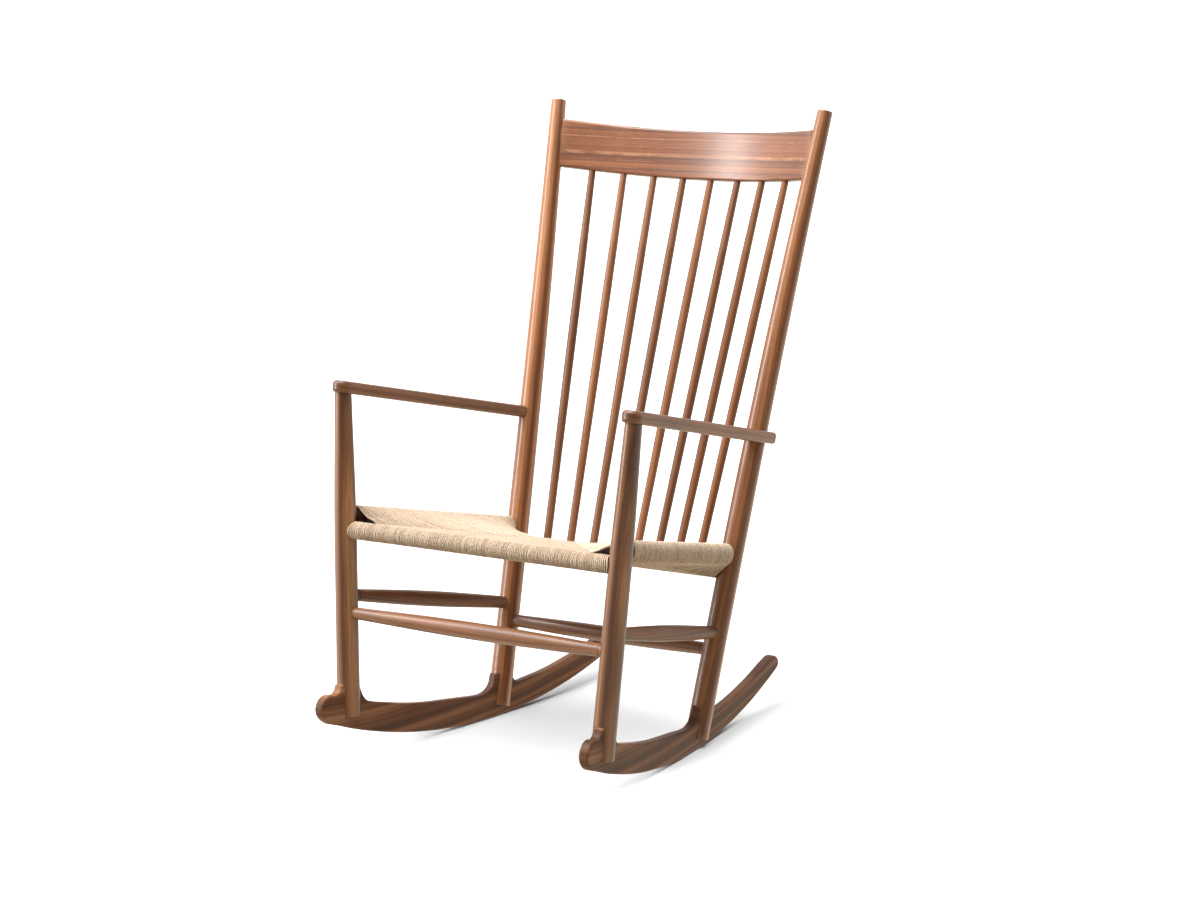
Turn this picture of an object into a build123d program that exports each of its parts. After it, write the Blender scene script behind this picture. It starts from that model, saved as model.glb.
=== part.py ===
"""Rocking chair with a spindle back and a woven cord seat, built as separate wooden pieces.

Millimetres, +Z up, the sitter faces -Y, +X is the sitter's left. The floor is z = 0 and the origin is the bottom centre of the bounding box.
Every piece is drawn in a working frame whose y = 0 is the lower end of the front legs. The last step rocks the chair on its rockers to its balance point and moves it to its own origin.
"""

import os
from math import asin, atan2, cos, pi, radians, sin, sqrt

from build123d import *

os.makedirs("parts", exist_ok=True)

# ------------------------------------------------------------ driving dimensions
ROCKED = 1.729  # degrees the chair is rocked back from the working frame, so that its centre of mass stands over the contact
Y_ORIGIN = 314.016  # y of the part's origin, after rocking
Z_FLOOR = 0.3974  # lifts the lowest edge of the tilted rockers to z = 0
HEIGHT = 1070.0  # top of the rear posts before the chair is rocked back

# rear posts: slightly bowed, leaning back and out
POST_TOP = (275.9, 665.3, 1070.0)
POST_FOOT = (206.6, 368.0, 17.3)
POST_BOW = (-4.9, -1.3)  # mid-height bow, x and y
POST_RADII = ((0.0, 13.2), (0.33, 17.2), (0.66, 19.3), (1.0, 19.7))

# front posts: tapered towards the arm
LEG_TOP = (288.1, 38.1, 595.2)
LEG_FOOT = (255.7, 0.0, 70.2)
LEG_RADII = ((0.0, 13.9), (0.13, 15.5), (0.26, 17.3), (0.38, 18.6), (0.52, 19.1), (0.72, 19.2), (1.0, 19.9))
LEG_CHEEK_Z = 70.5
POST_CHEEK_Z = 17.5

# arms
ARM_FRONT = (288.4, 38.1, 623.4)
ARM_REAR = (246.5, 508.2, 522.5)
ARM_THICK = 20.6
ARM_NOSE_R = 17.6
ARM_REAR_W = 38.0
ARM_TAIL_Y = 533.5
ARM_POST_R = 18.6

# crest rail: an arc laid square to the leaning posts
LEAN = radians(15.8)
CREST_MID_Z = 995.3
CREST_H = 87.0
CREST_T = 18.5
CREST_SAG = 65.7
CREST_HALF = 269.7

# spindles: x and y of the axis at z = 940 and at z = 310
SPINDLES = (
    (28.8, 695.8, 22.8, 465.2),
    (87.3, 689.9, 67.1, 462.9),
    (143.8, 677.0, 111.8, 457.2),
    (200.2, 659.2, 157.5, 451.3),
)
SPINDLE_R = ((0.0, 7.2), (0.10, 7.3), (0.30, 7.7), (0.55, 8.1), (0.78, 7.5), (1.0, 6.2))

# seat rails
FRONT_RAIL_Y, FRONT_RAIL_Z, FRONT_RAIL_R = 22.8, 385.0, 12.0
REAR_RAIL_Z, REAR_RAIL_R, REAR_RAIL_SAG = 298.0, 12.0, 20.5
REAR_RAIL_END = (221.2, 441.2)
SIDE_RAIL_FRONT = (276.6, 24.6, 408.6)
SIDE_RAIL_REAR = (222.9, 453.4, 324.0)
SIDE_RAIL_TALL, SIDE_RAIL_WIDE = 30.0, 24.5
RAIL_TENON_R = 8.5

# stretchers, barrel turned
FRONT_STRETCHER_Z = 245.6
REAR_STRETCHER_Z = 164.4
SIDE_STRETCHER_Z = (274.8, 193.6)

# rockers: flat planks standing in a plane that toes in towards the back
ROCKER_X0, ROCKER_TOE, ROCKER_TILT = 255.7, -0.1242, 0.065
ROCKER_T = 18.0
ROCKER_ARC_R = 1010.0
ROCKER_CONTACT_Y = 310.0
ROCKER_EDGE = 4.0

# joints: radii of the round tenons and size of the crest's flat tenon
FRONT_TENON_R, REAR_TENON_R, SIDE_TENON_R = 9.6, 10.2, 9.8
SPINDLE_FOOT_R, SPINDLE_HEAD_R = 5.0, 4.8
ARM_TENON_R = 9.5
CREST_TENON_T, CREST_SHOULDER, CREST_EDGE = 9.0, 9.0, 4.2

# woven seat
CORD_D = 3.3


# ------------------------------------------------------------ helpers
def at(x, y, z):
    """A point of the working frame."""
    return Vector(x, y, z)


def table(rows, t):
    """Linear reading of a table of (t, value) rows."""
    for (t0, v0), (t1, v1) in zip(rows, rows[1:]):
        if t <= t1:
            return v0 + (v1 - v0) * (t - t0) / (t1 - t0)
    return rows[-1][1]


def post_axis(z):
    """Axis of the rear post at +X."""
    t = (POST_TOP[2] - z) / (POST_TOP[2] - POST_FOOT[2])
    b = 4 * t * (1 - t)
    x = POST_TOP[0] + (POST_FOOT[0] - POST_TOP[0]) * t + POST_BOW[0] * b
    y = POST_TOP[1] + (POST_FOOT[1] - POST_TOP[1]) * t + POST_BOW[1] * b
    return (x, y, z)


def post_radius(z):
    return table(POST_RADII, (POST_TOP[2] - z) / (POST_TOP[2] - POST_FOOT[2]))


def leg_axis(z):
    """Axis of the front post at +X."""
    t = (LEG_TOP[2] - z) / (LEG_TOP[2] - LEG_FOOT[2])
    return tuple(a + (b - a) * t for a, b in zip(LEG_TOP, LEG_FOOT))


def leg_radius(z):
    return table(LEG_RADII, (LEG_TOP[2] - z) / (LEG_TOP[2] - LEG_FOOT[2]))


def toward(a, b):
    """Unit vector from a to b and the distance."""
    d = b - a
    return d.normalized(), d.length


def rod_plane(origin, direction):
    """Plane through a turned rod's axis, x along the rod."""
    side = direction.cross(Vector(0, 0, 1))
    if side.length < 0.3:
        side = direction.cross(Vector(1, 0, 0))
    return Plane(origin=origin, x_dir=direction, z_dir=side.normalized())


def rod_outline(points, tenon0, tenon1):
    """Half outline of a turned rod, drawn in the open line. points: (distance, radius); tenons: (length, radius)."""
    (s0, r0), (s1, r1) = points[0], points[-1]
    Spline(*points)
    Polyline(
        (s1, r1),
        (s1, tenon1[1]),
        (s1 + tenon1[0], tenon1[1]),
        (s1 + tenon1[0], 0),
        (s0 - tenon0[0], 0),
        (s0 - tenon0[0], tenon0[1]),
        (s0, tenon0[1]),
        (s0, r0),
    )


def smooth(points):
    """Draws a smooth run of cubic Bezier pieces through 2-D points in the open line."""
    v = [Vector(*p) for p in points]
    gaps = [(b - a).length for a, b in zip(v, v[1:])]
    slopes = []
    for i in range(len(v)):
        if i == 0:
            slopes.append((v[1] - v[0]).normalized())
        elif i == len(v) - 1:
            slopes.append((v[-1] - v[-2]).normalized())
        else:
            a, b = (v[i] - v[i - 1]) * (gaps[i] / gaps[i - 1]), (v[i + 1] - v[i]) * (gaps[i - 1] / gaps[i])
            slopes.append((a + b).normalized())
    for i, gap in enumerate(gaps):
        Bezier(v[i], v[i] + slopes[i] * (gap / 3), v[i + 1] - slopes[i + 1] * (gap / 3), v[i + 1])


def bore(start, direction, length, radius):
    """Cuts a round mortise from start along direction in the open part."""
    with Locations(Plane(origin=start, z_dir=direction)):
        Cylinder(
            radius,
            length,
            align=(Align.CENTER, Align.CENTER, Align.MIN),
            mode=Mode.SUBTRACT,
        )


def rocker_x(y, z):
    """x of the mid-plane of the rocker at +X."""
    return ROCKER_X0 + ROCKER_TOE * y + ROCKER_TILT * (z - 70.2)


ROCKER_NORMAL = Vector(1, -ROCKER_TOE, -ROCKER_TILT).normalized()
ROCKER_ALONG = Vector(ROCKER_TOE, 1, 0).normalized()
ROCKER_PLANE = Plane(
    origin=at(rocker_x(310.0, 60.0), 310.0, 60.0),
    x_dir=ROCKER_ALONG,
    z_dir=ROCKER_NORMAL,
)


def on_rocker(y, z):
    """Working (y, z) of a point of the rocker's mid-plane as the plane's own 2-D point."""
    p = ROCKER_PLANE.to_local_coords(at(rocker_x(y, z), y, z))
    return (p.X, p.Y)


SAG_DIR = Vector(0, cos(LEAN), -sin(LEAN))
RISE_DIR = Vector(0, sin(LEAN), cos(LEAN))
CREST_BASE = at(0, post_axis(CREST_MID_Z)[1], CREST_MID_Z)


# ------------------------------------------------------------ rockers
def arc_z(y):
    d = y - ROCKER_CONTACT_Y
    return ROCKER_ARC_R - sqrt(ROCKER_ARC_R**2 - d * d)


BOTTOM_FRONT, BOTTOM_REAR = -36.0, 676.0
NOSE = (
    (BOTTOM_FRONT, arc_z(BOTTOM_FRONT)),
    (-51.5, 66.3),
    (-61.2, 73.0),
    (-67.8, 81.6),
    (-70.4, 91.0),
    (-68.4, 100.3),
    (-63.2, 107.8),
    (-55.6, 112.9),
    (-47.0, 114.6),
    (-39.6, 113.2),
    (-33.2, 113.0),
    (-27.4, 115.6),
    (-23.4, 120.6),
    (-20.6, 127.4),
)
FRONT_EAR = ((20.7, 127.0), (23.4, 119.5), (26.0, 110.5), (30.5, 100.0), (38.5, 91.0), (52.0, 85.4), (73.0, 80.2))
TOP_MID = (
    (102.0, 73.6),
    (131.0, 67.4),
    (160.0, 62.2),
    (189.0, 58.2),
    (218.0, 55.2),
    (249.0, 52.2),
    (279.0, 49.0),
    (305.0, 46.2),
)
REAR_EAR_FRONT = ((322.0, 45.6), (336.0, 48.6), (347.0, 55.0), (353.5, 65.0), (357.2, 77.5))
REAR_EAR_BACK = ((400.5, 66.5), (404.0, 59.8), (409.0, 55.2), (418.0, 52.8), (433.0, 53.6))
TOP_REAR = (
    (468.0, 57.0),
    (501.0, 61.3),
    (534.0, 67.2),
    (567.0, 74.0),
    (600.0, 82.4),
    (630.0, 90.8),
    (652.0, 96.3),
)
TAIL = (
    (652.0, 96.3),
    (664.0, 98.2),
    (675.5, 96.8),
    (684.5, 92.0),
    (689.5, 84.0),
    (689.0, 76.5),
    (684.0, 72.2),
    (BOTTOM_REAR, arc_z(BOTTOM_REAR)),
)



def front_slot(y):
    """Working z of the rocker's flat top inside the front post."""
    (y0, z0), (y1, z1) = NOSE[-1], FRONT_EAR[0]
    return z0 + (z1 - z0) * (y - y0) / (y1 - y0)


def rear_slot(y):
    """Working z of the rocker's flat top inside the rear post."""
    (y0, z0), (y1, z1) = REAR_EAR_FRONT[-1], REAR_EAR_BACK[0]
    return z0 + (z1 - z0) * (y - y0) / (y1 - y0)


ROCKER_STEPS = (652.0, 610.0, 560.0, 500.0, 440.0, 380.0, 310.0, 240.0, 170.0, 100.0, 40.0, 0.0)

with BuildPart() as left_rocker:
    with BuildSketch(ROCKER_PLANE) as rocker_outline:
        with BuildLine():
            under = [(y, arc_z(y)) for y in ROCKER_STEPS]
            outline = [on_rocker(*p) for p in (*REAR_EAR_BACK, *TOP_REAR, *TAIL[1:], *under, *NOSE)]
            skirt = Spline(*outline)
            inside_leg = Line(skirt @ 1, on_rocker(*FRONT_EAR[0]))
            top = Spline(*[on_rocker(*p) for p in (*FRONT_EAR, *TOP_MID, *REAR_EAR_FRONT)])
            inside_post = Line(top @ 1, skirt @ 0)
        make_face()
        fillet(rocker_outline.vertices(), 4.4)
    extrude(amount=ROCKER_T / 2, both=True)
    rims = left_rocker.faces().sort_by(Axis(ROCKER_PLANE.origin, ROCKER_NORMAL))
    fillet((rims[0].edges() + rims[-1].edges()), ROCKER_EDGE)
left_rocker.part.label = "left_rocker"

with BuildPart() as right_rocker:
    mirror(left_rocker.part, about=Plane.YZ)
right_rocker.part.label = "right_rocker"

# ------------------------------------------------------------ stretchers
REACH = 22.4  # from a post's axis to the shoulder of a stretcher
PAST = 4.0  # a tenon ends this far past the post's axis

fs_a = at(-leg_axis(FRONT_STRETCHER_Z)[0], *leg_axis(FRONT_STRETCHER_Z)[1:])
fs_len = 2 * leg_axis(FRONT_STRETCHER_Z)[0]
with BuildPart() as front_stretcher:
    with BuildSketch(rod_plane(fs_a, Vector(1, 0, 0))):
        with BuildLine():
            rod_outline(
                [
                    (REACH, 10.2),
                    (REACH + 75, 12.2),
                    (fs_len / 2, 14.5),
                    (fs_len - REACH - 75, 12.2),
                    (fs_len - REACH, 10.2),
                ],
                (REACH + PAST, FRONT_TENON_R),
                (REACH + PAST, FRONT_TENON_R),
            )
        make_face()
    revolve(axis=Axis(fs_a, Vector(1, 0, 0)))
front_stretcher.part.label = "front_stretcher"

rs_a = at(-post_axis(REAR_STRETCHER_Z)[0], *post_axis(REAR_STRETCHER_Z)[1:])
rs_len = 2 * post_axis(REAR_STRETCHER_Z)[0]
with BuildPart() as rear_stretcher:
    with BuildSketch(rod_plane(rs_a, Vector(1, 0, 0))):
        with BuildLine():
            rod_outline(
                [
                    (REACH, 10.9),
                    (REACH + 60, 12.4),
                    (rs_len / 2, 14.0),
                    (rs_len - REACH - 60, 12.4),
                    (rs_len - REACH, 10.9),
                ],
                (REACH + PAST, REAR_TENON_R),
                (REACH + PAST, REAR_TENON_R),
            )
        make_face()
    revolve(axis=Axis(rs_a, Vector(1, 0, 0)))
rear_stretcher.part.label = "rear_stretcher"

ss_a = at(*leg_axis(SIDE_STRETCHER_Z[0]))
ss_b = at(*post_axis(SIDE_STRETCHER_Z[1]))
ss_dir, ss_len = toward(ss_a, ss_b)
with BuildPart() as left_stretcher:
    with BuildSketch(rod_plane(ss_a, ss_dir)):
        with BuildLine():
            rod_outline(
                [
                    (REACH + 2, 10.4),
                    (REACH + 62, 12.0),
                    (ss_len / 2, 13.75),
                    (ss_len - REACH - 62, 12.2),
                    (ss_len - REACH - 2, 10.8),
                ],
                (REACH + 2 + PAST, SIDE_TENON_R),
                (REACH + 2 + PAST, SIDE_TENON_R),
            )
        make_face()
    revolve(axis=Axis(ss_a, ss_dir))
left_stretcher.part.label = "left_stretcher"

with BuildPart() as right_stretcher:
    mirror(left_stretcher.part, about=Plane.YZ)
right_stretcher.part.label = "right_stretcher"

# ------------------------------------------------------------ seat rails
fr_a = at(-leg_axis(FRONT_RAIL_Z)[0], leg_axis(FRONT_RAIL_Z)[1], FRONT_RAIL_Z)
fr_len = 2 * leg_axis(FRONT_RAIL_Z)[0]
ALONG_X = Plane(origin=fr_a, x_dir=Vector(0, 1, 0), z_dir=Vector(1, 0, 0))
with BuildPart() as front_seat_rail:
    with BuildSketch(ALONG_X.offset(22.0)):
        Circle(FRONT_RAIL_R)
    extrude(amount=fr_len - 44.0)
    with BuildSketch(ALONG_X.offset(-PAST)):
        Circle(RAIL_TENON_R)
    extrude(amount=fr_len + 2 * PAST)
front_seat_rail.part.label = "front_seat_rail"

sr_a = at(*SIDE_RAIL_FRONT)
sr_b = at(*SIDE_RAIL_REAR)
sr_dir, sr_len = toward(sr_a, sr_b)
SIDE_RAIL_PLANE = Plane(origin=sr_a, x_dir=sr_dir.cross(Vector(0, 0, 1)).normalized(), z_dir=sr_dir)
with BuildPart() as left_seat_rail:
    with BuildSketch(SIDE_RAIL_PLANE.offset(23.5)):
        Ellipse(SIDE_RAIL_WIDE / 2, SIDE_RAIL_TALL / 2)
    extrude(amount=sr_len - 47.0)
    with BuildSketch(SIDE_RAIL_PLANE.offset(-PAST)):
        Circle(RAIL_TENON_R)
    extrude(amount=sr_len + 2 * PAST)
left_seat_rail.part.label = "left_seat_rail"

with BuildPart() as right_seat_rail:
    mirror(left_seat_rail.part, about=Plane.YZ)
right_seat_rail.part.label = "right_seat_rail"


def rear_rail_point(x):
    """Working point of the rear rail's curved axis."""
    sag = REAR_RAIL_SAG * (1 - (x / REAR_RAIL_END[0]) ** 2)
    return (x, REAR_RAIL_END[1] + sag * cos(LEAN), REAR_RAIL_Z - sag * sin(LEAN))


def spindle_line(k, spindle):
    """Foot, direction and length between z = 310 and z = 940 of a spindle's axis; k is its side."""
    x1, y1, x0, y0 = spindle
    foot, head = at(k * x0, y0, 310.0), at(k * x1, y1, 940.0)
    direction, length = toward(foot, head)
    return foot, direction, length


def spindle_span(k, spindle):
    """Distances from the foot along a spindle's axis: where it crosses the rear rail's axis and the crest's underside."""
    foot, direction, length = spindle_line(k, spindle)
    low = (at(*rear_rail_point(k * spindle[2])) - foot).dot(direction)
    under = CREST_BASE - RISE_DIR * (CREST_H / 2)
    high = (under - foot).dot(RISE_DIR) / direction.dot(RISE_DIR)
    return low, high


REAR_BODY_X = 199.0
with BuildPart() as rear_seat_rail:
    with BuildLine() as rear_path:
        ThreePointArc(
            at(*rear_rail_point(-REAR_BODY_X)),
            at(*rear_rail_point(0)),
            at(*rear_rail_point(REAR_BODY_X)),
        )
    arc = rear_path.wires()[0]
    with BuildSketch(Plane(origin=arc @ 0, z_dir=arc % 0)):
        Circle(REAR_RAIL_R)
    sweep(path=arc)
    for share, way in ((0, -1), (1, 1)):
        with BuildSketch(Plane(origin=arc @ share, z_dir=(arc % share) * way)):
            Circle(RAIL_TENON_R)
        extrude(amount=24.0)
    for k in (1, -1):
        for spindle in SPINDLES:
            foot, direction, length = spindle_line(k, spindle)
            low, high = spindle_span(k, spindle)
            bore(foot + direction * (low - 6.0), direction, 30.0, SPINDLE_FOOT_R)
rear_seat_rail.part.label = "rear_seat_rail"

# ------------------------------------------------------------ crest rail
CREST_R = (CREST_HALF**2 + CREST_SAG**2) / (2 * CREST_SAG)
CREST_CENTRE = CREST_SAG - CREST_R
CREST_PLANE = Plane(origin=CREST_BASE, x_dir=Vector(1, 0, 0), z_dir=RISE_DIR)


def crest_band(reach_x, thick):
    """Closed outline of a curved band about the crest's arc, drawn in the open line; its ends reach x = reach_x on the arc."""
    outer, inner, a = CREST_R + thick / 2, CREST_R - thick / 2, asin(reach_x / CREST_R)
    p = [(outer * sin(k * a), CREST_CENTRE + outer * cos(k * a)) for k in (-1, 0, 1)]
    q = [(inner * sin(k * a), CREST_CENTRE + inner * cos(k * a)) for k in (1, 0, -1)]
    ThreePointArc(*p)
    Line(p[2], q[0])
    ThreePointArc(*q)
    Line(q[2], p[0])


with BuildPart() as crest_rail:
    with BuildSketch(CREST_PLANE):
        with BuildLine():
            crest_band(CREST_HALF - 8.0, CREST_T)
        make_face()
    extrude(amount=CREST_H / 2, both=True)
    fillet(crest_rail.edges().filter_by(GeomType.CIRCLE), CREST_EDGE)
    for k in (1, -1):
        foot, top = at(k * post_axis(900)[0], *post_axis(900)[1:]), at(k * POST_TOP[0], *POST_TOP[1:])
        direction, length = toward(foot, top)
        with Locations(Plane(origin=foot, z_dir=direction)):
            Cone(
                post_radius(900) + 0.2,
                post_radius(1070) + 0.2,
                length,
                align=(Align.CENTER, Align.CENTER, Align.MIN),
                mode=Mode.SUBTRACT,
            )
    with BuildSketch(CREST_PLANE):
        with BuildLine():
            crest_band(CREST_HALF + 3.0, CREST_TENON_T)
        make_face()
    extrude(amount=CREST_H / 2 - CREST_SHOULDER, both=True)
    for k in (1, -1):
        for spindle in SPINDLES:
            foot, direction, length = spindle_line(k, spindle)
            low, high = spindle_span(k, spindle)
            bore(foot + direction * (high - 4.0), direction, 22.0, SPINDLE_HEAD_R)
crest_rail.part.label = "crest_rail"

# ------------------------------------------------------------ spindles
def spindle_outline(k, spindle):
    low, high = spindle_span(k, spindle)
    start, end = low + REAR_RAIL_R + 1.0, high - 0.7
    rod_outline(
        [(start + (end - start) * t, r) for t, r in SPINDLE_R],
        (REAR_RAIL_R + 6.0, SPINDLE_FOOT_R),
        (17.0, SPINDLE_HEAD_R),
    )


with BuildPart() as spindle_1:
    sp_foot, sp_dir, sp_len = spindle_line(1, SPINDLES[3])
    with BuildSketch(rod_plane(sp_foot, sp_dir)):
        with BuildLine():
            spindle_outline(1, SPINDLES[3])
        make_face()
    revolve(axis=Axis(sp_foot, sp_dir))
spindle_1.part.label = "spindle_1"

with BuildPart() as spindle_2:
    sp_foot, sp_dir, sp_len = spindle_line(1, SPINDLES[2])
    with BuildSketch(rod_plane(sp_foot, sp_dir)):
        with BuildLine():
            spindle_outline(1, SPINDLES[2])
        make_face()
    revolve(axis=Axis(sp_foot, sp_dir))
spindle_2.part.label = "spindle_2"

with BuildPart() as spindle_3:
    sp_foot, sp_dir, sp_len = spindle_line(1, SPINDLES[1])
    with BuildSketch(rod_plane(sp_foot, sp_dir)):
        with BuildLine():
            spindle_outline(1, SPINDLES[1])
        make_face()
    revolve(axis=Axis(sp_foot, sp_dir))
spindle_3.part.label = "spindle_3"

with BuildPart() as spindle_4:
    sp_foot, sp_dir, sp_len = spindle_line(1, SPINDLES[0])
    with BuildSketch(rod_plane(sp_foot, sp_dir)):
        with BuildLine():
            spindle_outline(1, SPINDLES[0])
        make_face()
    revolve(axis=Axis(sp_foot, sp_dir))
spindle_4.part.label = "spindle_4"

with BuildPart() as spindle_5:
    sp_foot, sp_dir, sp_len = spindle_line(-1, SPINDLES[0])
    with BuildSketch(rod_plane(sp_foot, sp_dir)):
        with BuildLine():
            spindle_outline(-1, SPINDLES[0])
        make_face()
    revolve(axis=Axis(sp_foot, sp_dir))
spindle_5.part.label = "spindle_5"

with BuildPart() as spindle_6:
    sp_foot, sp_dir, sp_len = spindle_line(-1, SPINDLES[1])
    with BuildSketch(rod_plane(sp_foot, sp_dir)):
        with BuildLine():
            spindle_outline(-1, SPINDLES[1])
        make_face()
    revolve(axis=Axis(sp_foot, sp_dir))
spindle_6.part.label = "spindle_6"

with BuildPart() as spindle_7:
    sp_foot, sp_dir, sp_len = spindle_line(-1, SPINDLES[2])
    with BuildSketch(rod_plane(sp_foot, sp_dir)):
        with BuildLine():
            spindle_outline(-1, SPINDLES[2])
        make_face()
    revolve(axis=Axis(sp_foot, sp_dir))
spindle_7.part.label = "spindle_7"

with BuildPart() as spindle_8:
    sp_foot, sp_dir, sp_len = spindle_line(-1, SPINDLES[3])
    with BuildSketch(rod_plane(sp_foot, sp_dir)):
        with BuildLine():
            spindle_outline(-1, SPINDLES[3])
        make_face()
    revolve(axis=Axis(sp_foot, sp_dir))
spindle_8.part.label = "spindle_8"

# ------------------------------------------------------------ rear posts
with BuildPart() as left_rear_post:
    for z in (POST_CHEEK_Z, 130.0, 260.0, 400.0, 540.0, 680.0, 820.0, 950.0, HEIGHT - 2.0):
        lower, upper = Vector(*post_axis(z - 1)), Vector(*post_axis(z + 1))
        with BuildSketch(Plane(origin=at(*post_axis(z)), x_dir=Vector(1, 0, 0), z_dir=upper - lower)):
            Circle(post_radius(z))
    loft()
    # softened top edge
    crown_dir = (Vector(*post_axis(HEIGHT - 1.0)) - Vector(*post_axis(HEIGHT - 3.0))).normalized()
    crown = Plane(origin=at(*post_axis(HEIGHT - 2.0)), x_dir=Vector(1, 0, 0), z_dir=crown_dir)
    for rise, less in ((0.0, 0.0), (1.4, 0.6), (2.0, 1.8)):
        with BuildSketch(crown.offset(rise)):
            Circle(post_radius(HEIGHT - 2.0) - less)
    loft(ruled=True)
    # slot astride the rocker
    with BuildSketch(ROCKER_PLANE):
        with BuildLine():
            Polyline(
                *[on_rocker(y, z) for y, z in ((325.0, -20.0), (325.0, rear_slot(325.0)), (440.0, rear_slot(440.0)), (440.0, -20.0))],
                close=True,
            )
        make_face()
    extrude(amount=ROCKER_T / 2, both=True, mode=Mode.SUBTRACT)
    # mortises
    rear_s = at(*post_axis(REAR_STRETCHER_Z))
    bore(rear_s + Vector(PAST + 0.5, 0, 0), Vector(-1, 0, 0), 40.0, REAR_TENON_R)
    bore(ss_b + ss_dir * (PAST + 0.5), ss_dir * -1, 40.0, SIDE_TENON_R)
    bore(sr_b + sr_dir * (PAST + 0.5), sr_dir * -1, 40.0, RAIL_TENON_R)
    bore(arc @ 1 + (arc % 1) * 24.5, (arc % 1) * -1, 40.0, RAIL_TENON_R)
    with BuildSketch(CREST_PLANE):
        with BuildLine():
            crest_band(CREST_HALF + 3.5, CREST_TENON_T)
        make_face()
    extrude(amount=CREST_H / 2 - CREST_SHOULDER, both=True, mode=Mode.SUBTRACT)
left_rear_post.part.label = "left_rear_post"

with BuildPart() as right_rear_post:
    mirror(left_rear_post.part, about=Plane.YZ)
right_rear_post.part.label = "right_rear_post"

# ------------------------------------------------------------ front posts
leg_bottom = at(*leg_axis(LEG_CHEEK_Z))
leg_dir, leg_len = toward(leg_bottom, at(*leg_axis(627.0)))
ARM_SLOPE = atan2(ARM_FRONT[2] - ARM_REAR[2], ARM_REAR[1] - ARM_FRONT[1])
ARM_ALONG = Vector(0, cos(ARM_SLOPE), -sin(ARM_SLOPE))
ARM_UP = Vector(0, sin(ARM_SLOPE), cos(ARM_SLOPE))
ARM_PLANE = Plane(origin=at(0, ARM_FRONT[1], ARM_FRONT[2]), x_dir=Vector(1, 0, 0), z_dir=ARM_UP)
with BuildPart() as left_front_post:
    with BuildSketch(rod_plane(leg_bottom, leg_dir)):
        with BuildLine():
            leg_points = [(leg_len * (1 - t), leg_radius(LEG_TOP[2] - t * (LEG_TOP[2] - LEG_FOOT[2]))) for t, _ in reversed(LEG_RADII)]
            Spline(*leg_points)
            Polyline(leg_points[-1], (leg_len, 0), (0, 0), leg_points[0])
        make_face()
    revolve(axis=Axis(leg_bottom, leg_dir))
    split(bisect_by=ARM_PLANE.offset(-ARM_THICK / 2), keep=Keep.BOTTOM)
    fillet(left_front_post.edges().sort_by(Axis.Z)[0], 1.2)
    with Locations(Plane(origin=leg_bottom, z_dir=leg_dir)):
        Cylinder(ARM_TENON_R, leg_len - 1.0, align=(Align.CENTER, Align.CENTER, Align.MIN))
    # slot astride the rocker
    with BuildSketch(ROCKER_PLANE):
        with BuildLine():
            Polyline(
                *[on_rocker(y, z) for y, z in ((-50.0, 30.0), (-50.0, front_slot(-50.0)), (60.0, front_slot(60.0)), (60.0, 30.0))],
                close=True,
            )
        make_face()
    extrude(amount=ROCKER_T / 2, both=True, mode=Mode.SUBTRACT)
    # mortises
    front_s = at(*leg_axis(FRONT_STRETCHER_Z))
    bore(front_s + Vector(PAST + 0.5, 0, 0), Vector(-1, 0, 0), 40.0, FRONT_TENON_R)
    front_r = at(*leg_axis(FRONT_RAIL_Z))
    bore(front_r + Vector(PAST + 0.5, 0, 0), Vector(-1, 0, 0), 40.0, RAIL_TENON_R)
    bore(ss_a - ss_dir * (PAST + 0.5), ss_dir, 40.0, SIDE_TENON_R)
    bore(sr_a - sr_dir * (PAST + 0.5), sr_dir, 40.0, RAIL_TENON_R)
left_front_post.part.label = "left_front_post"

with BuildPart() as right_front_post:
    mirror(left_front_post.part, about=Plane.YZ)
right_front_post.part.label = "right_front_post"

# ------------------------------------------------------------ arms
def arm_s(y):
    return (y - ARM_FRONT[1]) / cos(ARM_SLOPE)


def arm_x(y):
    return ARM_FRONT[0] + (ARM_REAR[0] - ARM_FRONT[0]) * (y - ARM_FRONT[1]) / (ARM_REAR[1] - ARM_FRONT[1])


arm_post = post_axis(ARM_REAR[2])
arm_post_dir = (Vector(*post_axis(ARM_REAR[2] + 30)) - Vector(*post_axis(ARM_REAR[2] - 30))).normalized()
with BuildPart() as left_arm:
    with BuildSketch(ARM_PLANE):
        with BuildLine():
            tail_s, tail_x = arm_s(ARM_TAIL_Y), arm_x(ARM_TAIL_Y)
            inner = (ARM_FRONT[0] - ARM_NOSE_R, 0)
            outer = (ARM_FRONT[0] + ARM_NOSE_R, 0)
            ThreePointArc(inner, (ARM_FRONT[0], -ARM_NOSE_R), outer)
            Polyline(
                outer,
                (tail_x + ARM_REAR_W / 2, tail_s),
                (tail_x - ARM_REAR_W / 2, tail_s),
                inner,
            )
        make_face()
    extrude(amount=ARM_THICK / 2, both=True)
    ends = left_arm.edges().filter_by(lambda e: abs((e @ 1 - e @ 0).normalized().dot(ARM_UP)) > 0.99)
    fillet(ends.sort_by(Axis.Y)[-2:], 7.0)
    faces = left_arm.faces().sort_by(Axis(ARM_PLANE.origin, ARM_UP))
    fillet(faces[0].edges() + faces[-1].edges(), 6.0)
    # the inner half stops against the front of the post, the outer half runs past it
    with BuildSketch(ARM_PLANE):
        with Locations((arm_post[0] - 40.0, arm_s(arm_post[1]) - 17.0)):
            Rectangle(80.0, 120.0, align=(Align.CENTER, Align.MIN))
    extrude(amount=ARM_THICK, both=True, mode=Mode.SUBTRACT)
    bore(at(*arm_post) - arm_post_dir * 60.0, arm_post_dir, 120.0, post_radius(ARM_REAR[2]) + 0.15)
    bore(leg_bottom, leg_dir, leg_len - 0.5, ARM_TENON_R)
left_arm.part.label = "left_arm"

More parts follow.
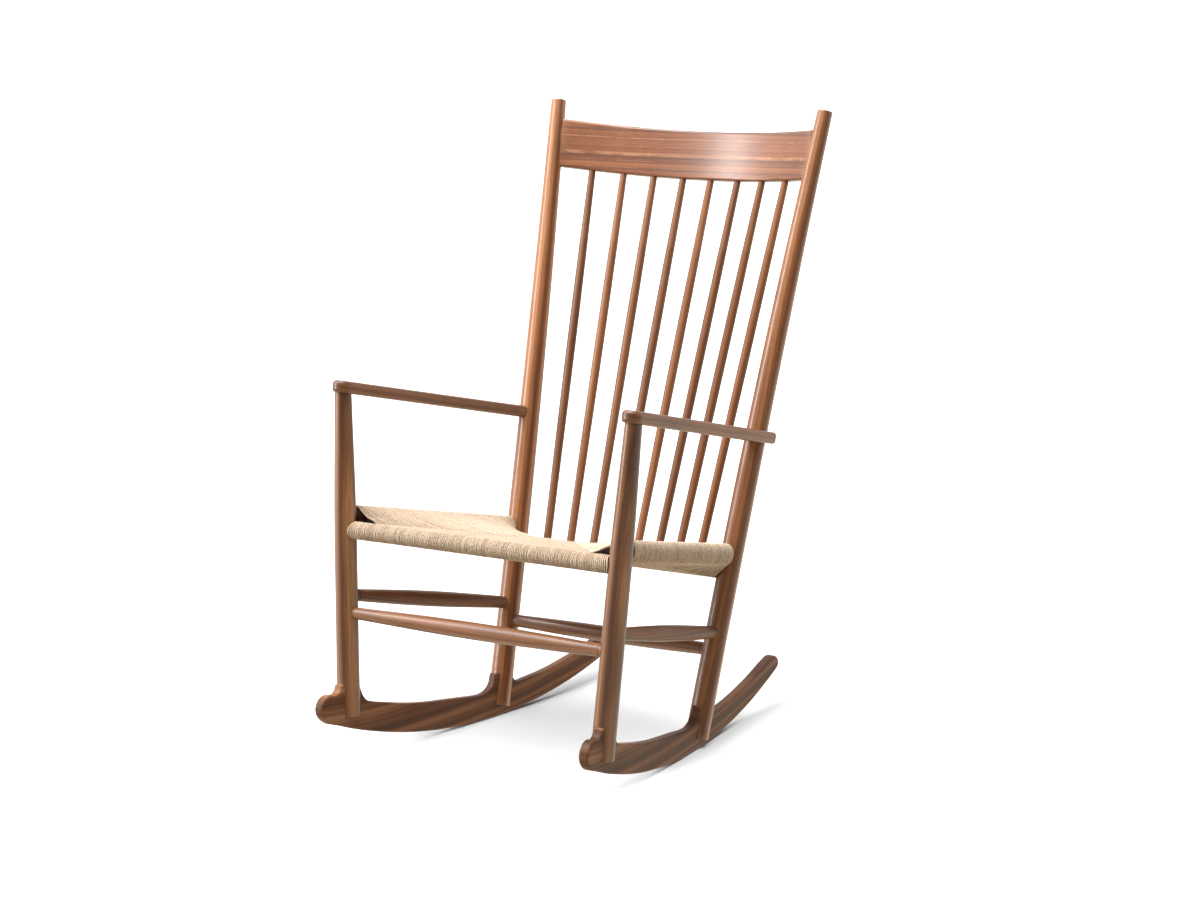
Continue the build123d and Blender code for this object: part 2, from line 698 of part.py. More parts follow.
with BuildPart() as right_arm:
    mirror(left_arm.part, about=Plane.YZ)
right_arm.part.label = "right_arm"

# ------------------------------------------------------------ woven seat: one closed body standing for the wound cord
SEAT_SLOPE = atan2(FRONT_RAIL_Z - (REAR_RAIL_Z - REAR_RAIL_SAG * sin(LEAN)), rear_rail_point(0)[1] - FRONT_RAIL_Y)
SEAT_PLANE = Plane(origin=at(0, FRONT_RAIL_Y, FRONT_RAIL_Z), x_dir=Vector(1, 0, 0), z_dir=Vector(0, sin(SEAT_SLOPE), cos(SEAT_SLOPE)))
FRONT_ROLL_R = FRONT_RAIL_R + CORD_D
REAR_ROLL_R = REAR_RAIL_R + CORD_D
CORNER_GAP = 46.0  # from a front post's axis to the first cord
MITRE_HALF, MITRE_Y = 28.0, 261.0
SWELL = 4.6  # rise of the packed middle above the plane of the rails
THICK = ((46.0, 29.0), (261.0, 13.5), (438.0, 29.0))  # y and thickness of the seat along the mitres


def side_roll(y):
    """Working x of the side rail's axis, and z of the top and bottom of its cord roll."""
    t = (y - SIDE_RAIL_FRONT[1]) / (SIDE_RAIL_REAR[1] - SIDE_RAIL_FRONT[1])
    x = SIDE_RAIL_FRONT[0] + t * (SIDE_RAIL_REAR[0] - SIDE_RAIL_FRONT[0])
    z = SIDE_RAIL_FRONT[2] + t * (SIDE_RAIL_REAR[2] - SIDE_RAIL_FRONT[2])
    return x, z + SIDE_RAIL_TALL / 2 + CORD_D, z - SIDE_RAIL_TALL / 2 - CORD_D


def mitre_x(y):
    """Working x where the side cords meet the front and rear cords."""
    return MITRE_HALF + abs(y - MITRE_Y) * (232.0 / (MITRE_Y - 29.0) if y < MITRE_Y else 181.0 / (438.0 - MITRE_Y))


def middle(y):
    """Working z of the top and bottom of the middle of the seat, where the two layers draw together."""
    z = FRONT_RAIL_Z - (y - FRONT_RAIL_Y) * (sin(SEAT_SLOPE) / cos(SEAT_SLOPE))
    top = z + (FRONT_ROLL_R - 1.2) / cos(SEAT_SLOPE) + SWELL * sin(pi * (y - 40.0) / 400.0)
    return top, top - table(THICK, y)


with BuildPart() as seat_weave:
    for y in (56.0, 110.0, 185.0, 261.0, 330.0, 400.0, 428.0):
        x, top_z, low_z = side_roll(y)
        mx = min(mitre_x(y), x - 22.0)
        mt, mb = middle(y)
        with BuildSketch(Plane(origin=at(0, y, 0), x_dir=Vector(1, 0, 0), z_dir=Vector(0, -1, 0))):
            with BuildLine():
                Polyline(
                    (x - 3.0, top_z - 1.2),
                    (mx, mt),
                    (-mx, mt),
                    (3.0 - x, top_z - 1.2),
                    (3.0 - x, low_z + 1.2),
                    (-mx, mb),
                    (mx, mb),
                    (x - 3.0, low_z + 1.2),
                    close=True,
                )
            make_face()
    loft(ruled=True)
    # front part, with the open corners beside the front posts
    with BuildSketch(SEAT_PLANE):
        with BuildLine():
            w = leg_axis(FRONT_RAIL_Z)[0] - CORNER_GAP
            Polyline((-w, 0), (w, 0), (w + 34, 36), (-w - 34, 36), close=True)
        make_face()
    extrude(amount=FRONT_ROLL_R - 0.6, both=True)
    # rear part, up to the curved rail
    with BuildSketch(SEAT_PLANE):
        with BuildLine():
            c = cos(SEAT_SLOPE)
            y0, y1, y2 = 395.0 / c, (rear_rail_point(199)[1] - FRONT_RAIL_Y) / c, (rear_rail_point(0)[1] - FRONT_RAIL_Y) / c
            ThreePointArc((-199, y1), (0, y2), (199, y1))
            Polyline((199, y1), (210, y0), (-210, y0), (-199, y1))
        make_face()
    extrude(amount=REAR_ROLL_R - 0.6, both=True)
    # rolls of cord round the rails
    with BuildSketch(ALONG_X.offset(leg_radius(FRONT_RAIL_Z) + 1.0)):
        Circle(FRONT_ROLL_R)
    extrude(amount=fr_len - 2 * leg_radius(FRONT_RAIL_Z) - 2.0)
    with BuildSketch(Plane(origin=arc @ 0, z_dir=arc % 0)):
        Circle(REAR_ROLL_R)
    sweep(path=arc)
    for k in (1, -1):
        a, b = at(k * SIDE_RAIL_FRONT[0], *SIDE_RAIL_FRONT[1:]), at(k * SIDE_RAIL_REAR[0], *SIDE_RAIL_REAR[1:])
        d, n = toward(a, b)
        with BuildSketch(Plane(origin=a + d * 21.5, x_dir=d.cross(Vector(0, 0, 1)).normalized(), z_dir=d)):
            Ellipse(SIDE_RAIL_WIDE / 2 + CORD_D, SIDE_RAIL_TALL / 2 + CORD_D)
        extrude(amount=n - 43.0)
    # the rails, posts and spindles pass through with a little room
    for k in (1, -1):
        a, b = at(k * SIDE_RAIL_FRONT[0], *SIDE_RAIL_FRONT[1:]), at(k * SIDE_RAIL_REAR[0], *SIDE_RAIL_REAR[1:])
        d, n = toward(a, b)
        with BuildSketch(Plane(origin=a, x_dir=d.cross(Vector(0, 0, 1)).normalized(), z_dir=d)):
            Ellipse(SIDE_RAIL_WIDE / 2 + 0.15, SIDE_RAIL_TALL / 2 + 0.15)
        extrude(amount=n, mode=Mode.SUBTRACT)
        for axis, radius, z in ((leg_axis, leg_radius, 400.0), (post_axis, post_radius, 310.0)):
            foot = at(k * axis(z - 60)[0], *axis(z - 60)[1:])
            head = at(k * axis(z + 60)[0], *axis(z + 60)[1:])
            d, n = toward(foot, head)
            bore(foot, d, n, radius(z) + 0.8)
        for spindle in SPINDLES:
            foot, direction, length = spindle_line(k, spindle)
            low, high = spindle_span(k, spindle)
            bore(foot + direction * low, direction, 60.0, 7.6)
    bore(fr_a, Vector(1, 0, 0), fr_len, FRONT_RAIL_R + 0.15)
    for share, way in ((0, -1), (1, 1)):
        bore(arc @ share, (arc % share) * way, 30.0, RAIL_TENON_R + 0.15)
    with BuildSketch(Plane(origin=arc @ 0, z_dir=arc % 0)):
        Circle(REAR_RAIL_R + 0.15)
    sweep(path=arc, mode=Mode.SUBTRACT)
seat_weave.part.label = "seat_weave"

# ------------------------------------------------------------ placing and export
# rocking turns the chair about the centre of the rockers' arc, so the arc itself stays where it is
arc_centre = Vector(0, ROCKER_CONTACT_Y, ROCKER_ARC_R)
settled = (
    Location(Vector(0, -Y_ORIGIN, Z_FLOOR) + arc_centre)
    * Location((0, 0, 0), (-ROCKED, 0, 0))
    * Location(arc_centre * -1)
)
for piece in (
    left_rocker,
    right_rocker,
    front_stretcher,
    rear_stretcher,
    left_stretcher,
    right_stretcher,
    front_seat_rail,
    rear_seat_rail,
    left_seat_rail,
    right_seat_rail,
    crest_rail,
    spindle_1,
    spindle_2,
    spindle_3,
    spindle_4,
    spindle_5,
    spindle_6,
    spindle_7,
    spindle_8,
    left_rear_post,
    right_rear_post,
    left_front_post,
    right_front_post,
    left_arm,
    right_arm,
    seat_weave,
):
    placed = piece.part.moved(settled)
    placed.label = piece.part.label
    export_step(placed, f"parts/{placed.label}.step")
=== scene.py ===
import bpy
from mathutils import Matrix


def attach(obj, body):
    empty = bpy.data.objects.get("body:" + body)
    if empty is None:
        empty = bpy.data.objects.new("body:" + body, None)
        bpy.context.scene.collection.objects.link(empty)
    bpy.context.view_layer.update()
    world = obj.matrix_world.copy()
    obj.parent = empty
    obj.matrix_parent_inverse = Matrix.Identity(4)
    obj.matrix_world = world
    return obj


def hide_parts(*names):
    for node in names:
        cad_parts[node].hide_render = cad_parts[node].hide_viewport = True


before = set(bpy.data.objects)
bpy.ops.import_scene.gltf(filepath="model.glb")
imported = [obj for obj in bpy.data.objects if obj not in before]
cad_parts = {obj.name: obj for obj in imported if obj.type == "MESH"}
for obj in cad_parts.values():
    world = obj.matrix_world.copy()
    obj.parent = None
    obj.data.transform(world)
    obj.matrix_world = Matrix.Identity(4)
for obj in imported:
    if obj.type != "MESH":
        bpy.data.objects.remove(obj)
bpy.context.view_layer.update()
# Rocking chair with a spindle back and a woven cord seat: walnut with an oiled finish, cord wound over hidden rails.
# Lengths of the seat are in millimetres of the working frame of the CAD model and go through placed() to the row frame.
import math
import random

import bmesh
import bpy
import numpy as np
from mathutils import Euler, Matrix, Vector

rng = random.Random(41)

# ------------------------------------------------------------ working frame to row frame
ROCKED = math.radians(1.729)
COS_R, SIN_R = math.cos(ROCKED), math.sin(ROCKED)


def placed(points):
    """Working millimetres to row-frame metres."""
    p = np.asarray(points, dtype=float).reshape(-1, 3)
    y, z = p[:, 1] - 310.0, p[:, 2] - 1010.0
    q = np.empty_like(p)
    q[:, 0] = p[:, 0]
    q[:, 1] = 310.0 + y * COS_R + z * SIN_R - 314.016
    q[:, 2] = 1010.0 - y * SIN_R + z * COS_R + 0.3974
    return q / 1000.0


def turned(d):
    """A direction of the working frame in the row frame."""
    x, y, z = d
    return Vector((x, y * COS_R + z * SIN_R, -y * SIN_R + z * COS_R))


# ------------------------------------------------------------ shader helpers
class Net:
    """A small helper to write node trees."""

    def __init__(self, material):
        material.use_nodes = True
        self.tree = material.node_tree
        self.tree.nodes.clear()

    def node(self, kind, settings=None, **inputs):
        n = self.tree.nodes.new(kind)
        for k, v in (settings or {}).items():
            setattr(n, k, v)
        for k, v in inputs.items():
            self.put(n, k, v)
        return n

    def put(self, n, key, value):
        if isinstance(key, str) and key.startswith("i") and key[1:].isdigit():
            socket = n.inputs[int(key[1:])]
        else:
            socket = n.inputs[key.replace("_", " ")]
        if isinstance(value, bpy.types.NodeSocket):
            self.tree.links.new(value, socket)
        else:
            socket.default_value = value

    def math(self, op, a, b=0.0, c=0.0, clamp=False):
        n = self.tree.nodes.new("ShaderNodeMath")
        n.operation, n.use_clamp = op, clamp
        for i, v in enumerate((a, b, c)):
            self.put(n, f"i{i}", v)
        return n.outputs[0]

    def mix(self, f, a, b, blend="MIX"):
        n = self.tree.nodes.new("ShaderNodeMix")
        n.data_type, n.blend_type = "RGBA", blend
        for k, v in ((0, f), (6, a), (7, b)):
            if isinstance(v, bpy.types.NodeSocket):
                self.tree.links.new(v, n.inputs[k])
            else:
                n.inputs[k].default_value = v if k == 0 else (*v, 1.0)[:4]
        return n.outputs[2]

    def span(self, v, a, b, c=0.0, d=1.0, smooth=True):
        n = self.tree.nodes.new("ShaderNodeMapRange")
        n.interpolation_type = "SMOOTHSTEP" if smooth else "LINEAR"
        n.clamp = True
        for i, x in enumerate((v, a, b, c, d)):
            self.put(n, f"i{i}", x)
        return n.outputs[0]

    def noise(self, vector, scale, detail=3.0, rough=0.55, distort=0.0):
        n = self.node("ShaderNodeTexNoise", Scale=scale, Detail=detail, Roughness=rough, Distortion=distort)
        self.tree.links.new(vector, n.inputs["Vector"])
        return n.outputs["Fac"]

    def noise1(self, value, scale, detail=2.0, rough=0.5):
        n = self.node("ShaderNodeTexNoise", {"noise_dimensions": "1D"}, Scale=scale, Detail=detail, Roughness=rough)
        self.tree.links.new(value, n.inputs["W"])
        return n.outputs["Fac"]

    def ramp(self, f, *stops):
        n = self.tree.nodes.new("ShaderNodeValToRGB")
        e = n.color_ramp.elements
        while len(e) < len(stops):
            e.new(0.5)
        for el, (pos, col) in zip(e, stops):
            el.position, el.color = pos, (*col, 1.0)
        self.tree.links.new(f, n.inputs[0])
        return n.outputs[0]

    def scaled(self, vector, s):
        n = self.node("ShaderNodeMapping", Scale=s)
        self.tree.links.new(vector, n.inputs["Vector"])
        return n.outputs[0]


# ------------------------------------------------------------ walnut
def walnut(name, grain, face, origin=(0, 0, 0), seed=0.0, tone=1.0, ring=0.011, pith=(0.11, 0.05), contrast=1.0, lines=0.0, wave=1.0, rough=0.33, grey=0.0, bow=0.0, red=1.0, coat=0.80, shine=0.5):
    """Oiled walnut. grain: direction of the fibres; face: a direction across them, the ring centre lies pith metres away across the fibres; bow: how much the fibres curve, per metre."""
    m = bpy.data.materials.new(name)
    n = Net(m)
    z = Vector(grain).normalized()
    x = Vector(face)
    x = (x - z * x.dot(z)).normalized()
    y = z.cross(x)
    turn = Matrix((x, y, z)).to_4x4()  # row frame to board frame
    at = turn @ -Vector(origin)
    tc = n.node("ShaderNodeTexCoord")
    board = n.node(
        "ShaderNodeMapping",
        {"vector_type": "POINT"},
        Location=(at.x + seed * 0.37, at.y - seed * 0.23, at.z + seed * 1.9),
        Rotation=tuple(turn.to_euler()),
    )
    n.tree.links.new(tc.outputs["Object"], board.inputs["Vector"])
    p = board.outputs[0]
    # slow drift of the fibres, longer along the grain than across
    slow = n.scaled(p, (9.0, 9.0, 2.6))
    drift = n.node("ShaderNodeTexNoise", Scale=1.0, Detail=2.0, Roughness=0.5)
    n.tree.links.new(slow, drift.inputs["Vector"])
    centred = n.node("ShaderNodeVectorMath", {"operation": "SUBTRACT"}, i1=(0.5, 0.5, 0.5))
    n.tree.links.new(drift.outputs["Color"], centred.inputs[0])
    small = n.node("ShaderNodeVectorMath", {"operation": "MULTIPLY"}, i1=(0.015 * wave, 0.015 * wave, 0.0))
    n.tree.links.new(centred.outputs[0], small.inputs[0])
    bent = n.node("ShaderNodeVectorMath", {"operation": "ADD"})
    n.tree.links.new(p, bent.inputs[0])
    n.tree.links.new(small.outputs[0], bent.inputs[1])
    q = bent.outputs[0]
    if bow:
        parts = n.node("ShaderNodeSeparateXYZ")
        n.tree.links.new(q, parts.inputs[0])
        run_z = n.math("SUBTRACT", parts.outputs[2], seed * 1.9)
        curved = n.node("ShaderNodeCombineXYZ", X=parts.outputs[0], Z=parts.outputs[2])
        n.tree.links.new(n.math("MULTIPLY_ADD", n.math("MULTIPLY", run_z, run_z), bow / 2, parts.outputs[1]), curved.inputs[1])
        q = curved.outputs[0]
    # growth rings about a pith line along the grain
    sep = n.node("ShaderNodeSeparateXYZ")
    n.tree.links.new(q, sep.inputs[0])
    sx = seed * 0.37 + pith[0]
    sy = -seed * 0.23 + pith[1]
    dx = n.math("SUBTRACT", sep.outputs[0], sx)
    dy = n.math("SUBTRACT", sep.outputs[1], sy)
    r = n.math("SQRT", n.math("ADD", n.math("MULTIPLY", dx, dx), n.math("MULTIPLY", dy, dy)))
    rings = n.noise1(r, 1.0 / ring, 3.0, 0.62)
    fine_rings = n.noise1(r, 4.2 / ring, 2.0, 0.55)
    # streaks of the fibres
    streak = n.noise(n.scaled(q, (330.0, 330.0, 6.0)), 1.0, 4.0, 0.62)
    fibre = n.noise(n.scaled(q, (1150.0, 1150.0, 26.0)), 1.0, 3.0, 0.6)
    cloud = n.noise(n.scaled(q, (16.0, 16.0, 3.4)), 1.0, 3.0, 0.55)
    v = n.math("ADD", n.math("MULTIPLY", rings, 0.46), n.math("MULTIPLY", fine_rings, 0.15))
    v = n.math("ADD", v, n.math("MULTIPLY", streak, 0.17))
    v = n.math("ADD", v, n.math("MULTIPLY", cloud, 0.22))
    v = n.math("MULTIPLY_ADD", n.math("SUBTRACT", v, 0.5), 1.75 * contrast, 0.5, clamp=True)
    def hue_of(r, g, b):
        """grey pulls the brown from orange towards grey; red under 1 makes it redder."""
        return (r * tone, (g + (0.50 * r - g) * grey) * tone * red, (b + (0.31 * r - b) * grey) * tone * red * red)

    dark, low, mid = hue_of(0.074, 0.0240, 0.0072), hue_of(0.150, 0.0505, 0.0148), hue_of(0.245, 0.0870, 0.0260)
    light, pale = hue_of(0.345, 0.136, 0.0450), hue_of(0.47, 0.210, 0.080)
    colour = n.ramp(v, (0.08, dark), (0.32, low), (0.52, mid), (0.74, light), (0.95, pale))
    if lines:
        # thin pale rings, some strong and some faint
        phase = n.math("ADD", n.math("MULTIPLY", r, 1.0 / 0.0092), n.math("MULTIPLY", n.noise1(r, 34.0, 1.0, 0.5), 2.6))
        edge = n.math("ABSOLUTE", n.math("SUBTRACT", n.math("FRACT", phase), 0.5))
        strong = n.span(n.noise(n.scaled(q, (95.0, 95.0, 3.0)), 1.0, 1.0, 0.5), 0.34, 0.62, 0.18, 1.0)
        thin = n.math("MULTIPLY", n.span(edge, 0.02, 0.075, 1.0, 0.0), strong)
        shadow = n.math("MULTIPLY", n.span(n.math("FRACT", phase), 0.55, 0.86, 1.0, 0.0), n.span(n.math("FRACT", phase), 0.46, 0.56, 0.0, 1.0))
        colour = n.mix(n.math("MULTIPLY", shadow, 0.35 * lines), colour, (0.145 * tone, 0.056 * tone, 0.028 * tone))
        colour = n.mix(n.math("MULTIPLY", thin, lines), colour, (0.56 * tone, 0.262 * tone, 0.125 * tone))
    # red-brown against grey-brown, in long patches
    hue = n.noise(n.scaled(q, (30.0, 30.0, 2.0)), 1.0, 2.0, 0.5)
    colour = n.mix(n.span(hue, 0.35, 0.7, 0.0, 0.55), colour, (0.82, 0.86, 0.86), "MULTIPLY")
    colour = n.mix(n.math("MULTIPLY", n.span(fibre, 0.30, 0.56, 1.0, 0.0), 0.34), colour, (0.050 * tone, 0.021 * tone, 0.011 * tone))
    # open pores: short dark dashes along the grain
    pore = n.node("ShaderNodeTexVoronoi", {"feature": "F1"}, Scale=1.0, Randomness=1.0)
    n.tree.links.new(n.scaled(q, (820.0, 820.0, 95.0)), pore.inputs["Vector"])
    pores = n.span(pore.outputs["Distance"], 0.10, 0.24, 1.0, 0.0)
    where = n.span(streak, 0.42, 0.62, 0.15, 1.0)
    pores = n.math("MULTIPLY", pores, where)
    colour = n.mix(n.math("MULTIPLY", pores, 0.62), colour, (0.040, 0.019, 0.012))
    # handling: slightly paler, smoother arrises
    geo = n.node("ShaderNodeNewGeometry")
    rub = n.span(geo.outputs["Pointiness"], 0.515, 0.60, 0.0, 0.35)
    colour = n.mix(rub, colour, (0.42 * tone, 0.215 * tone, 0.115 * tone))
    # end grain drinks more oil and is darker
    cut = n.node("ShaderNodeVectorMath", {"operation": "DOT_PRODUCT"}, i1=tuple(z))
    n.tree.links.new(geo.outputs["Normal"], cut.inputs[0])
    end = n.span(n.math("ABSOLUTE", cut.outputs["Value"]), 0.55, 0.97, 0.0, 1.0)
    colour = n.mix(n.math("MULTIPLY", end, 0.55), colour, (0.060, 0.028, 0.016))
    gloss = n.math("MULTIPLY_ADD", streak, 0.16, rough - 0.05)
    gloss = n.math("ADD", gloss, n.math("MULTIPLY", n.noise(n.scaled(p, (26.0, 26.0, 9.0)), 1.0, 3.0), 0.07))
    gloss = n.math("ADD", gloss, n.math("MULTIPLY", pores, 0.25), clamp=True)
    height = n.math("SUBTRACT", n.math("MULTIPLY", fibre, 0.35), n.math("MULTIPLY", pores, 1.0))
    height = n.math("ADD", height, n.math("MULTIPLY", streak, 0.25))
    bump = n.node("ShaderNodeBump", Strength=0.22, Distance=0.00025)
    n.tree.links.new(height, bump.inputs["Height"])
    skin = n.node("ShaderNodeBsdfPrincipled", IOR=1.48)
    skin.inputs["Specular IOR Level"].default_value = shine
    skin.inputs["Coat Weight"].default_value = coat
    skin.inputs["Coat Roughness"].default_value = 0.26 if lines else 0.20
    n.tree.links.new(colour, skin.inputs["Base Color"])
    n.tree.links.new(gloss, skin.inputs["Roughness"])
    n.tree.links.new(bump.outputs[0], skin.inputs["Normal"])
    out = n.node("ShaderNodeOutputMaterial")
    n.tree.links.new(skin.outputs[0], out.inputs[0])
    return m


def dress(node, material):
    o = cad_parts[node]
    if not o.material_slots:
        o.data.materials.append(material)
    for s in o.material_slots:
        s.material = material


POST_TOP, POST_FOOT = Vector((275.9, 665.3, 1070.0)), Vector((206.6, 368.0, 17.3))
LEG_TOP, LEG_FOOT = Vector((288.1, 38.1, 595.2)), Vector((255.7, 0.0, 70.2))


def mirrored(v, k):
    return Vector((v[0] * k, v[1], v[2]))


for side, k in (("left", 1), ("right", -1)):
    post = turned(mirrored(POST_TOP - POST_FOOT, k))
    leg = turned(mirrored(LEG_TOP - LEG_FOOT, k))
    mid_post = placed(mirrored((POST_TOP + POST_FOOT) / 2, k))[0]
    mid_leg = placed(mirrored((LEG_TOP + LEG_FOOT) / 2, k))[0]
    dress(f"{side}_rear_post", walnut(f"walnut_{side}_rear_post", post, (1, 0.3, 0), mid_post, seed=2.1 + k * 0.7, tone=1.14 - 0.15 * k, ring=0.011, pith=(0.10, 0.12), contrast=1.30))
    dress(f"{side}_front_post", walnut(f"walnut_{side}_front_post", leg, (1, 0.4, 0), mid_leg, seed=5.3 + k * 0.9, tone=0.77, ring=0.010, pith=(0.10, -0.12), contrast=1.70))
    along = turned((-0.1242 * k, 0.9945, 0.075 - 0.01 * k))
    across = turned((1, 0.1242 * k, 0))
    dress(f"{side}_rocker", walnut(f"walnut_{side}_rocker", along, across, placed((240 * k, 310, 60))[0], seed=8.4 + k * 0.6, tone=0.78 - 0.06 * k, ring=0.026, pith=(0.05, -0.42), contrast=1.85, wave=0.55, rough=0.44, grey=0.30, bow=0.40, coat=0.04, shine=0.25))
    arm = turned(mirrored(Vector((246.5, 508.2, 522.5)) - Vector((288.4, 38.1, 623.4)), k))
    dress(f"{side}_arm", walnut(f"walnut_{side}_arm", arm, (1, 0, 0), placed((268 * k, 270, 570))[0], seed=11.2 + k * 0.4, tone=0.92 + 0.05 * k, ring=0.010, pith=(0.02, -0.18), contrast=1.35, grey=0.02, red=0.95, coat=0.45))
    st = turned(mirrored(Vector((229, 412, 193.6)) - Vector((268, 15, 274.8)), k))
    dress(f"{side}_stretcher", walnut(f"walnut_{side}_stretcher", st, (1, 0, 0), placed((248 * k, 212, 235))[0], seed=14.6 + k * 0.5, tone=0.84, ring=0.010, pith=(0.08, -0.10), contrast=1.3, grey=0.2, coat=0.10, shine=0.35))
    # the hidden side seat rails are darkened to tone 0.30 as painted shade, since they show only inside the shaded
    # corners of the seat
    rail = turned(mirrored(Vector((222.9, 453.4, 324.0)) - Vector((276.6, 24.6, 408.6)), k))
    dress(f"{side}_seat_rail", walnut(f"walnut_{side}_seat_rail", rail, (1, 0, 0), placed((250 * k, 240, 365))[0], seed=17.1 + k * 0.5, ring=0.012, tone=0.30))
# in this loop the seat rails are darkened to tone 0.30 as painted shade; the stretchers keep tone 0.86
for piece, at, seed in (("front_stretcher", (0, 12.7, 245.6), 20.3), ("rear_stretcher", (0, 409, 164.4), 22.9), ("front_seat_rail", (0, 22.8, 385), 24.1), ("rear_seat_rail", (0, 455, 293), 26.8)):
    dress(piece, walnut(f"walnut_{piece}", (1, 0, 0), (0, 0, 1), placed(at)[0], seed=seed, tone=0.30 if "rail" in piece else 0.86, ring=0.010, pith=(0.09, 0.11), contrast=1.2, grey=0.15, coat=0.45))
dress("crest_rail", walnut("walnut_crest_rail", (1, 0, 0.012), turned((0, 0.272, 0.962)), placed((0, 645, 995))[0], seed=29.7, tone=0.96, ring=0.016, pith=(0.75, 0.10), contrast=1.25, lines=0.60, wave=0.35, rough=0.32, red=0.84, coat=0.95))
SPINDLES = ((28.8, 695.8, 22.8, 465.2), (87.3, 689.9, 67.1, 462.9), (143.8, 677.0, 111.8, 457.2), (200.2, 659.2, 157.5, 451.3))
for i in range(8):
    k, s = (1, SPINDLES[3 - i]) if i < 4 else (-1, SPINDLES[i - 4])
    d = turned((k * (s[0] - s[2]), s[1] - s[3], 630.0))
    dress(f"spindle_{i + 1}", walnut(f"walnut_spindle_{i + 1}", d, (1, 0, 0), placed((k * s[2], s[3], 310))[0], seed=31.0 + 1.7 * i, tone=0.90 + 0.16 * math.sin(2.4 * i + 0.6), ring=0.008, pith=(0.03, 0.04), contrast=0.9, coat=0.2))

# ------------------------------------------------------------ cord
CORD_R = 1.46


def cord_material(name, dark=0.0):
    m = bpy.data.materials.new(name)
    n = Net(m)
    uv = n.node("ShaderNodeUVMap", {"uv_map": "strand"})
    sep = n.node("ShaderNodeSeparateXYZ")
    n.tree.links.new(uv.outputs[0], sep.inputs[0])
    u, v = sep.outputs[0], sep.outputs[1]  # u: metres along the cord, v: turns round it
    tone = n.node("ShaderNodeAttribute", {"attribute_name": "tone"}).outputs["Fac"]
    tc = n.node("ShaderNodeTexCoord").outputs["Object"]
    # three plies laid round each other
    lay = n.math("MULTIPLY", n.math("ADD", n.math("MULTIPLY", u, 1.0 / 0.0105), v), 3.0)
    ply = n.math("FRACT", lay)
    ridge = n.math("SINE", n.math("MULTIPLY", ply, math.pi))
    groove = n.span(ridge, 0.0, 0.55, 1.0, 0.0)
    # crumpled paper: short fibres along each ply
    paper = n.noise(n.scaled(tc, (1.0, 1.0, 1.0)), 1500.0, 3.0, 0.6)
    patch = n.noise(tc, 60.0, 3.0, 0.6)
    base = n.ramp(
        n.math("ADD", n.math("MULTIPLY_ADD", tone, 0.46, 0.14), n.math("MULTIPLY", patch, 0.24)),
        (0.15, (0.480, 0.340, 0.220)),
        (0.40, (0.690, 0.520, 0.370)),
        (0.62, (0.810, 0.642, 0.475)),
        (0.90, (0.880, 0.738, 0.590)),
    )
    # painted shade in the grooves between the plies
    base = n.mix(n.math("MULTIPLY", groove, 0.75), base, (0.24, 0.155, 0.092))
    base = n.mix(n.span(paper, 0.45, 0.75, 0.0, 0.30), base, (0.38, 0.265, 0.180))
    # twists that stand in each other's shade
    knot = n.noise(tc, 590.0, 2.0, 0.55)
    base = n.mix(n.span(knot, 0.49, 0.61, 0.0, 0.66), base, (0.225, 0.142, 0.082))
    base = n.mix(n.span(knot, 0.46, 0.32, 0.0, 0.35), base, (0.74, 0.60, 0.48))
    # painted shade between neighbouring turns, from an ambient occlusion node
    close = n.node("ShaderNodeAmbientOcclusion", {"samples": 6}, Distance=0.0032)
    base = n.mix(n.span(close.outputs["AO"], 0.28, 0.84, 0.95, 0.0), base, (0.130, 0.076, 0.040))
    # painted shade: the cords inside the seat are darkened towards near black
    if dark:
        base = n.mix(dark, base, (0.055, 0.035, 0.022))
    height = n.math("ADD", ridge, n.math("MULTIPLY", paper, 0.35))
    bump = n.node("ShaderNodeBump", Strength=0.6, Distance=0.0004)
    n.tree.links.new(height, bump.inputs["Height"])
    skin = n.node("ShaderNodeBsdfPrincipled")
    skin.inputs["Specular IOR Level"].default_value = 0.28
    skin.inputs["Sheen Weight"].default_value = 0.12
    skin.inputs["Sheen Roughness"].default_value = 0.5
    n.tree.links.new(base, skin.inputs["Base Color"])
    n.tree.links.new(n.math("MULTIPLY_ADD", paper, 0.2, 0.62, clamp=True), skin.inputs["Roughness"])
    n.tree.links.new(bump.outputs[0], skin.inputs["Normal"])
    out = n.node("ShaderNodeOutputMaterial")
    n.tree.links.new(skin.outputs[0], out.inputs[0])
    return m


